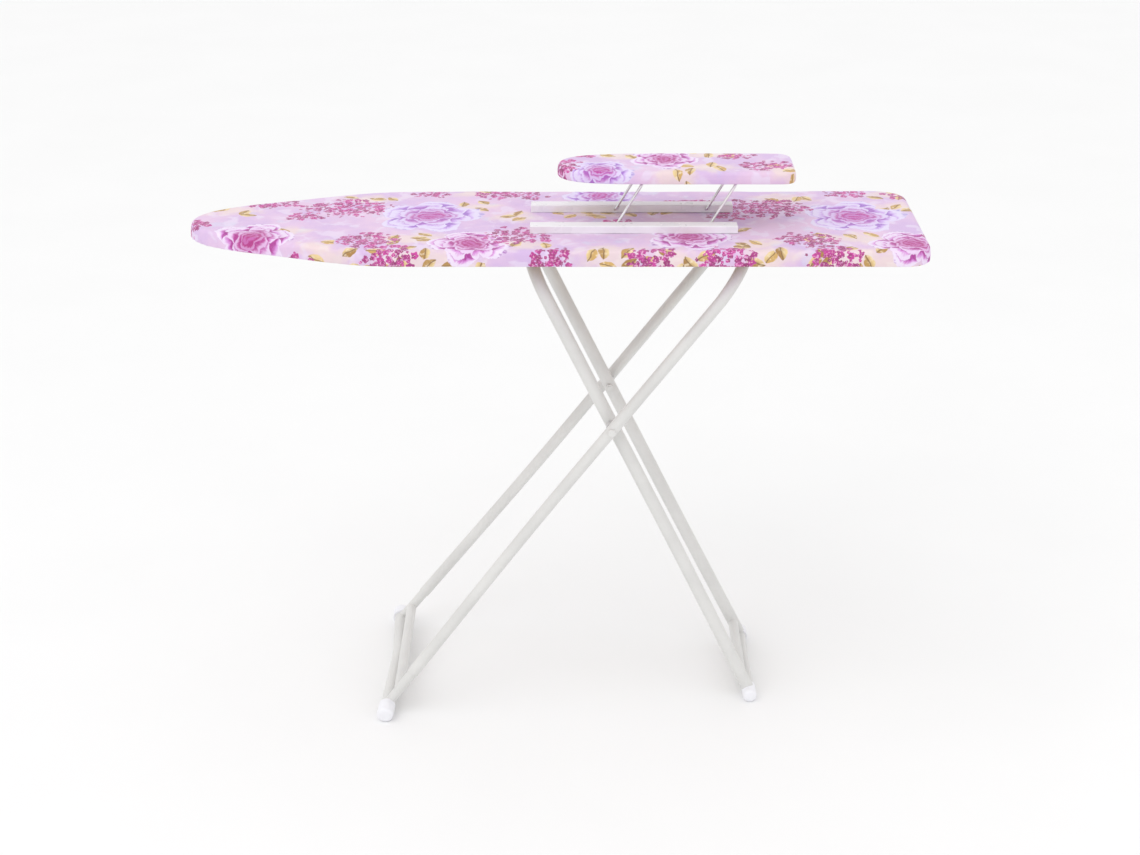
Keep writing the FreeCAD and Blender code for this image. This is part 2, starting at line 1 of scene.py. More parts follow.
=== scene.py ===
import bpy
import bmesh
import json
import math
import numpy as np
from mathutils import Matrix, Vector


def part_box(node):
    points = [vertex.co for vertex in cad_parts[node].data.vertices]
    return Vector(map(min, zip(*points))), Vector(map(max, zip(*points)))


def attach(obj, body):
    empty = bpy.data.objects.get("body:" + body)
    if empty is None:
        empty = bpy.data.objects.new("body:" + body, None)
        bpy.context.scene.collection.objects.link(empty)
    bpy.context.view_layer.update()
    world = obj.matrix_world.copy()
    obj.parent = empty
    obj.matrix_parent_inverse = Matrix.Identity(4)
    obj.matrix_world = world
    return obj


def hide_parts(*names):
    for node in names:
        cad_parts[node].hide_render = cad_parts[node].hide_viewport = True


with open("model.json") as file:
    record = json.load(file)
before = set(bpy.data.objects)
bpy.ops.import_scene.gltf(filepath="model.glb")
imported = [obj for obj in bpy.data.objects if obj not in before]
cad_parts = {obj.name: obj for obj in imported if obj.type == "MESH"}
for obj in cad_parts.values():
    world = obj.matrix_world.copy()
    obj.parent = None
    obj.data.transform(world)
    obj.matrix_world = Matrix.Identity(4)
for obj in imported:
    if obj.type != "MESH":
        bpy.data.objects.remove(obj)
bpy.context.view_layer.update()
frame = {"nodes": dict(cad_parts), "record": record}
nodes = frame["nodes"]

# Nose outlines in metres: Bezier poles from the tip, each a distance back and a half width.
BOARD_NOSE = [[(0.0, 0.0), (0.0, 0.027), (0.015, 0.061), (0.110, 0.094)],
              [(0.110, 0.094), (0.201, 0.1255), (0.247, 0.155), (0.330, 0.155)]]
SLEEVE_NOSE = [[(0.0, 0.0), (0.0, 0.050), (0.060, 0.055), (0.138, 0.055)]]
BOARD_CORNER = 0.038
SLEEVE_CORNER = 0.018
# Length after which the print comes again, and the pitch of its threads.
PRINT_REPEAT = 0.645
THREAD = 0.0007
TURN = 2 * math.pi
# Cloth simulation: its frames, the most that a point moves, how loose the cloth is, and its pressure.
SETTLE_FRAMES = 20
SETTLE_CAP = 0.002
SETTLE_SLACK = -0.002
SETTLE_PRESSURE = 0.2
# How far round a piece that stands on the cloth the cloth keeps still.
PRESSED_MARGIN = 0.002
# Cover: radius at its lower edge, spacing of the hem's rings, and waves of the gathers, small and broad.
LOWER_EDGE = 0.0020
HEM_STEP = 0.0028
RIPPLE_LENGTH = 0.0135
BROAD_LENGTH = 0.052
# Foam pad: how far it stays inside the cover, and the chamfer at its lower edge.
PAD_INSET = 0.0016
PAD_CHAMFER = 0.0006


# ---------------------------------------------------------------- node helpers
class Tree:
    """Short calls for building a node tree."""

    def __init__(self, tree):
        self.tree = tree

    def add(self, kind, **settings):
        node = self.tree.nodes.new(kind)
        for key, value in settings.items():
            setattr(node, key, value)
        return node

    def put(self, socket, value):
        """Link a socket or set a constant."""
        if isinstance(value, bpy.types.NodeSocket):
            self.tree.links.new(value, socket)
        else:
            socket.default_value = value

    def math(self, operation, *values, clamp=False):
        node = self.add("ShaderNodeMath", operation=operation, use_clamp=clamp)
        for socket, value in zip(node.inputs, values):
            self.put(socket, value)
        return node.outputs[0]

    def vector(self, operation, *values):
        node = self.add("ShaderNodeVectorMath", operation=operation)
        for socket, value in zip(node.inputs, values):
            self.put(socket, value)
        return node.outputs["Value" if operation == "LENGTH" else "Vector"]

    def scale(self, vector, factor):
        node = self.add("ShaderNodeVectorMath", operation="SCALE")
        self.put(node.inputs[0], vector)
        self.put(node.inputs["Scale"], factor)
        return node.outputs["Vector"]

    def smooth(self, value, low, high, out_low=0.0, out_high=1.0):
        node = self.add("ShaderNodeMapRange", interpolation_type="SMOOTHSTEP")
        for socket, item in zip(node.inputs, (value, low, high, out_low, out_high)):
            self.put(socket, item)
        return node.outputs[0]

    def mix(self, factor, a, b):
        node = self.add("ShaderNodeMix", data_type="RGBA")
        self.put(node.inputs[0], factor)
        self.put(node.inputs[6], a)
        self.put(node.inputs[7], b)
        return node.outputs[2]

    def noise(self, vector, scale, detail=2.0, rough=0.5, colour=False):
        node = self.add("ShaderNodeTexNoise")
        self.put(node.inputs["Vector"], vector)
        node.inputs["Scale"].default_value = scale
        node.inputs["Detail"].default_value = detail
        node.inputs["Roughness"].default_value = rough
        return node.outputs["Color" if colour else "Fac"]

    def split(self, vector):
        node = self.add("ShaderNodeSeparateXYZ")
        self.put(node.inputs[0], vector)
        return node.outputs

    def join(self, x, y, z):
        node = self.add("ShaderNodeCombineXYZ")
        for socket, value in zip(node.inputs, (x, y, z)):
            self.put(socket, value)
        return node.outputs[0]

    def bump(self, height, strength, distance):
        node = self.add("ShaderNodeBump")
        node.inputs["Strength"].default_value = strength
        node.inputs["Distance"].default_value = distance
        self.put(node.inputs["Height"], height)
        return node.outputs[0]

    def wobble(self, vector, scale, amount):
        """Vector moved about by noise."""
        shift = self.vector("SUBTRACT", self.noise(vector, scale, colour=True), (0.5, 0.5, 0.5))
        return self.vector("ADD", vector, self.scale(shift, amount))


def new_material(name, roughness, metallic=0.0):
    material = bpy.data.materials.new(name)
    material.use_nodes = True
    tree = Tree(material.node_tree)
    shader = material.node_tree.nodes["Principled BSDF"]
    shader.inputs["Roughness"].default_value = roughness
    shader.inputs["Metallic"].default_value = metallic
    return material, tree, shader


# ---------------------------------------------------------------- printed cotton
def blend_colour(a, b, share):
    return [x + (y - x) * share for x, y in zip(a, b)]


def rose_group(name, light, mid, deep, stroke, heart):
    """Watercolour rose, radius 1 around the origin: rings of scalloped petals with brushed rims."""
    group = bpy.data.node_groups.new(name, "ShaderNodeTree")
    group.interface.new_socket("Vector", in_out="INPUT", socket_type="NodeSocketVector")
    group.interface.new_socket("Color", in_out="OUTPUT", socket_type="NodeSocketColor")
    group.interface.new_socket("Alpha", in_out="OUTPUT", socket_type="NodeSocketFloat")
    t = Tree(group)
    source = t.add("NodeGroupInput").outputs[0]
    place = t.wobble(t.wobble(source, 1.5, 0.45), 5.0, 0.16)
    x, y, _ = t.split(place)
    radius = t.vector("LENGTH", t.join(x, y, 0.0))
    angle = t.math("ARCTAN2", y, x)
    around = t.join(t.math("MULTIPLY", t.math("COSINE", angle), 2.4),
                    t.math("MULTIPLY", t.math("SINE", angle), 2.4), t.math("MULTIPLY", radius, 1.6))
    streak = t.noise(around, 2.6, 4.0, 0.65)
    broken = t.smooth(t.noise(source, 5.5, 3.0), 0.40, 0.58)
    rings = [(1.0, 5, 0.3), (0.82, 6, 1.4), (0.65, 5, 0.2), (0.48, 4, 0.9), (0.33, 3, 0.1), (0.19, 3, 1.2)]
    colour = light
    alpha = None
    for index, (reach, petals, phase) in enumerate(rings):
        wave = t.math("ABSOLUTE", t.math("SINE", t.math("MULTIPLY_ADD", angle, petals / 2, phase)))
        notch = t.math("POWER", t.math("SUBTRACT", 1.0, wave), 1.6)
        edge = t.math("MULTIPLY_ADD", notch, -0.30 * reach, reach)
        inside = t.math("SUBTRACT", edge, radius)
        cover = t.smooth(inside, 0.0, 0.03)
        inner = 0.86 * rings[index + 1][0] if index + 1 < len(rings) else 0.0
        depth = t.math("DIVIDE", t.math("SUBTRACT", radius, inner), t.math("SUBTRACT", edge, inner),
                       clamp=True)
        depth = t.math("MULTIPLY_ADD", t.math("SUBTRACT", streak, 0.5), 0.9, depth, clamp=True)
        share = index / (len(rings) - 1)
        face = blend_colour(blend_colour(light, mid, share ** 1.5), heart, max(0.0, share - 0.5) * 1.1)
        shade = blend_colour(mid, heart, max(0.0, min(1.0, share * 1.7 - 0.3)))
        fold = blend_colour(deep, heart, share)
        petal = t.mix(t.smooth(depth, 0.04, 0.34), fold, shade)
        petal = t.mix(t.smooth(depth, 0.26, 0.62), petal, face)
        rim = t.math("MULTIPLY", t.smooth(depth, 0.86, 0.97), broken)
        petal = t.mix(t.math("MULTIPLY", rim, 0.85), petal, blend_colour(stroke, heart, share))
        colour = t.mix(cover, colour, petal)
        if alpha is None:
            alpha = t.math("MULTIPLY", cover, t.smooth(streak, 0.25, 0.45, 0.75, 1.0))
    out = t.add("NodeGroupOutput")
    t.put(out.inputs[0], colour)
    t.put(out.inputs[1], alpha)
    return group


def motif_place(t, vector, centre):
    """Coordinates around a motif that comes again every repeat of the print."""
    local = t.vector("SUBTRACT", vector, (centre[0], centre[1], 0.0))
    half = PRINT_REPEAT / 2
    return t.vector("WRAP", local, (half, 10.0, 10.0), (-half, -10.0, -10.0))


def region(t, vector, ellipses):
    """1 in the middle of the nearest ellipse, 0 at its edge, negative outside."""
    field = None
    for x, y, rx, ry in ellipses:
        local = t.vector("MULTIPLY", motif_place(t, vector, (x, y)), (1 / rx, 1 / ry, 0.0))
        inside = t.math("SUBTRACT", 1.0, t.vector("LENGTH", local))
        field = inside if field is None else t.math("MAXIMUM", field, inside)
    return field


def cells(t, vector, scale, randomness=0.85):
    """Scattered cells: place inside the cell (1 is about a cell), its centre and random values."""
    node = t.add("ShaderNodeTexVoronoi", voronoi_dimensions="2D", feature="F1")
    t.put(node.inputs["Vector"], vector)
    node.inputs["Scale"].default_value = scale
    node.inputs["Randomness"].default_value = randomness
    centre = node.outputs["Position"]
    local = t.scale(t.vector("SUBTRACT", vector, centre), scale)
    return local, centre, t.split(node.outputs["Color"])


def turned(t, vector, angle):
    node = t.add("ShaderNodeVectorRotate", rotation_type="Z_AXIS")
    t.put(node.inputs["Vector"], vector)
    t.put(node.inputs["Angle"], angle)
    return node.outputs[0]


# Where the print has its motifs, in metres: clusters and sprigs are x, y and two radii,
# roses are x, y, radius and turn.
BOARD_PRINT = {
    "clusters": [(-0.32, 0.06, 0.080, 0.050), (-0.275, -0.10, 0.055, 0.036), (-0.24, -0.165, 0.045, 0.045),
                 (-0.055, -0.08, 0.052, 0.046), (0.0, -0.165, 0.038, 0.030), (0.14, -0.17, 0.045, 0.035),
                 (0.25, -0.165, 0.050, 0.035), (-0.19, 0.135, 0.040, 0.022), (-0.07, 0.13, 0.065, 0.030),
                 (0.205, 0.085, 0.060, 0.026), (0.265, 0.015, 0.040, 0.022), (0.095, -0.02, 0.036, 0.022)],
    "sprigs": [(-0.20, -0.095, 0.062, 0.030), (-0.19, -0.172, 0.085, 0.034), (-0.33, -0.155, 0.040, 0.026),
               (0.155, 0.045, 0.035, 0.022), (0.245, -0.055, 0.040, 0.016), (-0.12, 0.065, 0.040, 0.020),
               (-0.06, 0.015, 0.036, 0.028), (0.08, -0.155, 0.055, 0.030), (0.18, -0.170, 0.045, 0.030),
               (-0.29, 0.11, 0.050, 0.022), (0.06, 0.03, 0.060, 0.022), (-0.13, 0.13, 0.030, 0.020),
               (-0.04, -0.125, 0.040, 0.022), (0.30, -0.125, 0.030, 0.022)],
    "lilac": [(-0.19, 0.017, 0.080, 0.4), (0.07, 0.125, 0.060, 2.2)],
    "pink": [(-0.122, -0.118, 0.062, 1.1), (0.198, -0.085, 0.066, 3.0)],
}
SLEEVE_PRINT = {
    "clusters": [(0.005, -0.015, 0.040, 0.045), (0.318, -0.02, 0.045, 0.030), (0.27, 0.03, 0.035, 0.020),
                 (0.045, 0.035, 0.025, 0.018)],
    "sprigs": [(0.18, -0.065, 0.034, 0.026), (0.225, -0.035, 0.050, 0.020), (0.095, 0.03, 0.030, 0.016),
               (0.345, -0.045, 0.036, 0.030), (0.235, 0.04, 0.045, 0.014)],
    "lilac": [(0.068, -0.045, 0.050, 0.8)],
    "pink": [(0.165, 0.015, 0.054, 2.0)],
}


def print_colours(t, flat, layout, lilac, pink):
    """Colour of the printed cotton at flat cloth coordinates in metres."""
    wet = t.noise(flat, 9.0, 4.0, 0.6)
    dabs = t.noise(t.wobble(flat, 14.0, 0.06), 36.0, 2.0)
    colour = t.mix(t.smooth(wet, 0.36, 0.62), (0.66, 0.47, 0.76, 1), (0.77, 0.55, 0.76, 1))
    colour = t.mix(t.smooth(dabs, 0.53, 0.64, 0.0, 0.50), colour, (0.82, 0.74, 0.90, 1))
    colour = t.mix(t.smooth(t.noise(flat, 23.0, 3.0), 0.58, 0.70, 0.0, 0.5), colour, (0.66, 0.66, 0.84, 1))

    local, centre, pick = cells(t, t.wobble(flat, 60.0, 0.008), 31.0)
    leaf = turned(t, local, t.math("MULTIPLY", pick[0], TURN))
    x, y, _ = t.split(leaf)
    belly = t.math("MULTIPLY_ADD", t.math("MULTIPLY", x, x), -1.25, 0.27)
    inside = t.math("SUBTRACT", belly, t.math("ABSOLUTE", y))
    near = region(t, centre, layout["sprigs"])
    kept = t.math("MULTIPLY", t.smooth(inside, 0.0, 0.04),
                  t.math("GREATER_THAN", t.math("MULTIPLY_ADD", pick[1], 0.3, near), 0.06))
    shade = t.mix(pick[2], (0.36, 0.18, 0.03, 1), (0.68, 0.42, 0.12, 1))
    shade = t.mix(t.smooth(y, -0.10, 0.22), shade, (0.82, 0.62, 0.30, 1))
    shade = t.mix(t.smooth(t.noise(flat, 130.0, 3.0), 0.50, 0.66, 0.0, 0.75), shade, (0.90, 0.76, 0.56, 1))
    shade = t.mix(t.smooth(t.math("ABSOLUTE", y), 0.0, 0.05), (0.22, 0.11, 0.03, 1), shade)
    around = region(t, t.wobble(flat, 26.0, 0.03), layout["sprigs"])
    wash = t.smooth(t.math("MULTIPLY_ADD", t.noise(flat, 48.0, 4.0), 1.6, around), 0.45, 1.50, 0.0, 0.60)
    colour = t.mix(wash, colour, (0.88, 0.74, 0.62, 1))
    colour = t.mix(kept, colour, shade)

    for group, roses in ((lilac, layout["lilac"]), (pink, layout["pink"])):
        for x, y, size, turn in roses:
            node = t.add("ShaderNodeGroup", node_tree=group)
            place = turned(t, t.scale(motif_place(t, flat, (x, y)), 1 / size), turn)
            t.put(node.inputs[0], place)
            colour = t.mix(node.outputs[1], colour, node.outputs[0])

    for scale, petals, bound in ((78.0, 0.46, 0.42), (135.0, 0.38, 0.50)):
        local, centre, pick = cells(t, t.wobble(flat, 110.0, 0.007), scale)
        x, y, _ = t.split(local)
        spread = t.vector("LENGTH", t.join(x, y, 0.0))
        angle = t.math("MULTIPLY_ADD", t.math("ARCTAN2", y, x), 5.0, t.math("MULTIPLY", pick[0], TURN))
        inside = t.math("SUBTRACT", t.math("MULTIPLY_ADD", t.math("SINE", angle), 0.06, petals), spread)
        near = region(t, centre, layout["clusters"])
        kept = t.math("MULTIPLY", t.smooth(inside, 0.0, 0.07),
                      t.math("GREATER_THAN", t.math("MULTIPLY_ADD", pick[1], 0.5, near), bound))
        shade = t.mix(pick[2], (0.27, 0.01, 0.13, 1), (0.60, 0.03, 0.33, 1))
        light = t.smooth(t.noise(flat, 240.0, 2.0), 0.52, 0.66, 0.0, 0.75)
        shade = t.mix(light, shade, (0.86, 0.42, 0.74, 1))
        shade = t.mix(t.smooth(spread, 0.02, 0.08), (0.90, 0.70, 0.60, 1), shade)
        colour = t.mix(kept, colour, shade)
    return colour


def make_cotton(name, layout, lilac, pink):
    """Printed cotton: the print, and a fine weave that also carries a painted highlight on its raised
    threads.
    """
    material, t, shader = new_material(name, 0.82)
    uv = t.add("ShaderNodeUVMap", uv_map="flat").outputs[0]
    colour = print_colours(t, uv, layout, lilac, pink)
    u, v, _ = t.split(uv)
    warp = t.math("SINE", t.math("MULTIPLY", u, TURN / THREAD))
    weft = t.math("SINE", t.math("MULTIPLY", v, TURN / THREAD))
    weave = t.math("MULTIPLY", warp, weft)
    # The colour is lighter where the weave's threads rise, as in the bump below: a painted highlight on the
    # thread crowns.
    colour = t.mix(t.smooth(weave, -1.0, 1.0, 0.0, 0.08), colour, (0.93, 0.88, 0.96, 1))
    t.put(shader.inputs["Base Color"], colour)
    height = t.math("MULTIPLY_ADD", t.noise(uv, 900.0, 2.0), 0.6, weave)
    t.put(shader.inputs["Normal"], t.bump(height, 0.35, 0.0002))
    shader.inputs["Sheen Weight"].default_value = 0.2
    shader.inputs["Sheen Roughness"].default_value = 0.5
    return material


# ---------------------------------------------------------------- other materials
def object_place(t):
    return t.add("ShaderNodeTexCoord").outputs["Object"]


def make_powder_coat(name, colour, roughness):
    """Sprayed paint: fine orange peel, uneven gloss and faint scuffs."""
    material, t, shader = new_material(name, roughness)
    place = object_place(t)
    cloud = t.noise(place, 14.0, 4.0)
    darker = [c * 0.93 for c in colour[:3]] + [1]
    tint = t.mix(t.smooth(cloud, 0.35, 0.7), darker, colour)
    scuff = t.smooth(t.noise(t.vector("MULTIPLY", place, (60.0, 60.0, 14.0)), 3.0, 5.0, 0.7), 0.66, 0.80)
    tint = t.mix(t.math("MULTIPLY", scuff, 0.35), tint, (0.55, 0.54, 0.52, 1))
    t.put(shader.inputs["Base Color"], tint)
    t.put(shader.inputs["Roughness"], t.smooth(cloud, 0.3, 0.7, roughness - 0.06, roughness + 0.10))
    t.put(shader.inputs["Normal"], t.bump(t.noise(place, 700.0, 2.0), 0.12, 0.0004))
    return material


def make_plastic(name, colour, roughness):
    """Moulded plastic: fine texture and slight cloudiness."""
    material, t, shader = new_material(name, roughness)
    place = object_place(t)
    cloud = t.noise(place, 30.0, 3.0)
    darker = [c * 0.94 for c in colour[:3]] + [1]
    t.put(shader.inputs["Base Color"], t.mix(t.smooth(cloud, 0.3, 0.7), darker, colour))
    t.put(shader.inputs["Roughness"], t.smooth(cloud, 0.3, 0.7, roughness - 0.05, roughness + 0.08))
    t.put(shader.inputs["Normal"], t.bump(t.noise(place, 1100.0, 1.0), 0.08, 0.0003))
    shader.inputs["IOR"].default_value = 1.49
    return material


def make_steel(name, colour, roughness, streaks):
    """Plated steel: drawn or rolled streaks along X and dull patches."""
    material, t, shader = new_material(name, roughness, 1.0)
    place = object_place(t)
    along = t.noise(t.vector("MULTIPLY", place, streaks), 1.0, 4.0)
    dull = t.noise(place, 45.0, 4.0)
    darker = [c * 0.80 for c in colour[:3]] + [1]
    t.put(shader.inputs["Base Color"], t.mix(t.smooth(dull, 0.35, 0.7), darker, colour))
    t.put(shader.inputs["Roughness"], t.smooth(dull, 0.3, 0.75, roughness - 0.06, roughness + 0.14))
    t.put(shader.inputs["Normal"], t.bump(along, 0.10, 0.0003))
    return material


def make_fibreboard():
    """Hardboard: pressed fibres and flecks."""
    material, t, shader = new_material("fibreboard", 0.78)
    place = object_place(t)
    fibres = t.noise(t.vector("MULTIPLY", place, (160.0, 700.0, 300.0)), 1.0, 5.0, 0.65)
    flecks = t.noise(place, 420.0, 3.0)
    tint = t.mix(t.smooth(fibres, 0.35, 0.65), (0.30, 0.18, 0.09, 1), (0.52, 0.35, 0.20, 1))
    tint = t.mix(t.smooth(flecks, 0.62, 0.72, 0.0, 0.6), tint, (0.20, 0.11, 0.05, 1))
    t.put(shader.inputs["Base Color"], tint)
    t.put(shader.inputs["Normal"], t.bump(fibres, 0.3, 0.0006))
    return material


def make_foam():
    """Open-cell foam, with painted shade in its pores."""
    material, t, shader = new_material("foam", 0.95)
    place = object_place(t)
    node = t.add("ShaderNodeTexVoronoi")
    t.put(node.inputs["Vector"], place)
    node.inputs["Scale"].default_value = 700.0
    # Colour is darker in the middle of each cell, where the bump sinks into a pore: painted shade in the
    # pores.
    tint = t.mix(t.smooth(node.outputs["Distance"], 0.1, 0.6), (0.62, 0.58, 0.46, 1), (0.88, 0.86, 0.78, 1))
    t.put(shader.inputs["Base Color"], tint)
    t.put(shader.inputs["Normal"], t.bump(node.outputs["Distance"], 0.4, 0.0008))
    return material


# ---------------------------------------------------------------- board-shaped pieces
def bezier(poles, share):
    a, b, c, d = [np.array(p) for p in poles]
    s = 1 - share
    return a * s ** 3 + 3 * b * s * s * share + 3 * c * s * share * share + d * share ** 3


class Outline:
    """Board outline as evenly spaced points with outward normals, from the nose tip round."""

    def __init__(self, low, high, nose, corner, spacing):
        tip, tail = low.x, high.x
        middle = (low.y + high.y) / 2
        side = [bezier(poles, share) for poles in nose for share in np.linspace(0, 1, 60)]
        back = [(tip + d, w) for d, w in side]
        half = nose[-1][-1][1]
        turn = np.linspace(math.pi / 2, 0, 24)
        back += [(tail - corner + corner * math.cos(a), half - corner + corner * math.sin(a)) for a in turn]
        back = np.array(back)
        front = back[::-1] * [1, -1]
        path = np.vstack([back, front])
        run = np.linalg.norm(np.diff(path, axis=0), axis=1)
        keep = np.concatenate([[True], run > 1e-7])
        path = path[keep]
        along = np.concatenate([[0], np.cumsum(np.linalg.norm(np.diff(path, axis=0), axis=1))])
        self.length = along[-1]
        self.count = int(round(self.length / spacing / 2)) * 2
        self.s = np.arange(self.count) * self.length / self.count
        x = np.interp(self.s, along, path[:, 0])
        y = np.interp(self.s, along, path[:, 1])
        for _ in range(6):
            x = (np.roll(x, 1) + 2 * x + np.roll(x, -1)) / 4
            y = (np.roll(y, 1) + 2 * y + np.roll(y, -1)) / 4
        tx = np.roll(x, -1) - np.roll(x, 1)
        ty = np.roll(y, -1) - np.roll(y, 1)
        size = np.hypot(tx, ty)
        self.nx, self.ny = -ty / size, tx / size
        self.x, self.y = x, y + middle
        bend = np.abs(np.roll(self.nx, -1) - np.roll(self.nx, 1))
        bend = bend + np.abs(np.roll(self.ny, -1) - np.roll(self.ny, 1))
        bend = bend / (2 * self.length / self.count)
        for _ in range(60):
            bend = (np.roll(bend, 1) + bend + np.roll(bend, -1)) / 3
        self.bend = bend
        self.middle = middle
        self.spine = (tip + min(0.45 * half * 2, (tail - tip) * 0.3), tail - half * 0.8)

    def ring(self, out, z):
        """Ring of points moved out from the outline."""
        return np.stack([self.x + self.nx * out, self.y + self.ny * out, np.full(self.count, z)], axis=1)


def waves(outline, length, twist, seed):
    """Uneven ripple around the outline, between -1 and 1, with about one wave per length."""
    share = outline.s / outline.length * TURN
    count = round(outline.length / length)
    drift = (twist * np.sin(share * max(3, round(count / 9)) + seed)
             + 0.7 * twist * np.sin(share * 5 + 2 * seed))
    main = np.sin(share * count + drift + seed)
    other = np.sin(share * round(count * 0.61) + 1.7 * drift + 3 * seed)
    return 0.62 * main + 0.38 * other


def build_mesh(name, outline, rings, flats, closed):
    """Mesh from rings of points; the first ring lies on the spine and is merged."""
    count = outline.count
    points = np.vstack(rings)
    flat = np.vstack(flats)
    index = np.arange(count)
    after = np.roll(index, -1)
    faces = []
    for row in range(len(rings) - 1):
        low, high = row * count, (row + 1) * count
        faces.append(np.stack([low + index, high + index, high + after, low + after], axis=1))
    mesh = bpy.data.meshes.new(name)
    mesh.from_pydata(points.tolist(), [], np.vstack(faces).tolist())
    layer = mesh.uv_layers.new(name="flat")
    loops = np.zeros(len(mesh.loops), np.int32)
    mesh.loops.foreach_get("vertex_index", loops)
    layer.data.foreach_set("uv", flat[loops].astype(np.float32).ravel())
    work = bmesh.new()
    work.from_mesh(mesh)
    ends = [0] + ([len(rings) - 1] if closed else [])
    work.verts.ensure_lookup_table()
    merged = [work.verts[row * count + i] for row in ends for i in range(count)]
    bmesh.ops.remove_doubles(work, verts=merged, dist=0.0002)
    bmesh.ops.recalc_face_normals(work, faces=work.faces)
    work.to_mesh(mesh)
    work.free()
    mesh.shade_smooth()
    piece = bpy.data.objects.new(name, mesh)
    bpy.context.collection.objects.link(piece)
    return piece


def spine_ring(outline, edge, share, z):
    """Ring between the spine, at 0, and an edge ring, at 1."""
    x = np.clip(outline.x, *outline.spine)
    start = np.stack([x, np.full(outline.count, outline.middle), np.full(outline.count, z)], axis=1)
    return start + (edge - start) * share


def settle(piece, bottom, pressed):
    """Cloth simulation: slightly loose cotton pushed out by the foam, held at its hem and under the
    nodes that stand on it."""
    mesh = piece.data
    count = len(mesh.vertices)
    rest = np.zeros(count * 3)
    mesh.vertices.foreach_get("co", rest)
    rest = rest.reshape(-1, 3)
    outward = np.zeros(count * 3)
    mesh.vertices.foreach_get("normal", outward)
    outward = outward.reshape(-1, 3)
    held = piece.vertex_groups.new(name="held")
    still = rest[:, 2] < bottom + 0.001
    for name in pressed:
        low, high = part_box(name)
        still |= ((rest[:, 0] > low.x - PRESSED_MARGIN) & (rest[:, 0] < high.x + PRESSED_MARGIN)
                  & (rest[:, 1] > low.y - PRESSED_MARGIN) & (rest[:, 1] < high.y + PRESSED_MARGIN))
    held.add(np.nonzero(still)[0].tolist(), 1.0, "REPLACE")
    cloth = piece.modifiers.new("cloth", "CLOTH")
    cloth.point_cache.frame_start = 1
    cloth.point_cache.frame_end = SETTLE_FRAMES
    settings = cloth.settings
    settings.quality = 5
    settings.mass = 0.02
    settings.tension_stiffness = 12.0
    settings.compression_stiffness = 12.0
    settings.shear_stiffness = 4.0
    settings.bending_stiffness = 0.08
    settings.shrink_min = SETTLE_SLACK
    settings.use_pressure = True
    settings.uniform_pressure_force = SETTLE_PRESSURE
    settings.effector_weights.gravity = 0.0
    settings.vertex_group_mass = held.name
    for step in range(1, SETTLE_FRAMES + 1):
        bpy.context.scene.frame_set(step)
    moved = np.zeros(count * 3)
    evaluated = piece.evaluated_get(bpy.context.evaluated_depsgraph_get())
    evaluated.data.vertices.foreach_get("co", moved)
    shift = moved.reshape(-1, 3) - rest
    piece.modifiers.remove(cloth)
    bpy.context.scene.frame_set(1)
    # The foam takes out every move inwards.
    inward = np.minimum(np.sum(shift * outward, axis=1), 0.0)
    shift -= outward * inward[:, None]
    size = np.maximum(np.linalg.norm(shift, axis=1), 1e-9)
    shift *= (SETTLE_CAP * np.tanh(size / SETTLE_CAP) / size)[:, None]
    mesh.vertices.foreach_set("co", (rest + shift).ravel())
    mesh.update()


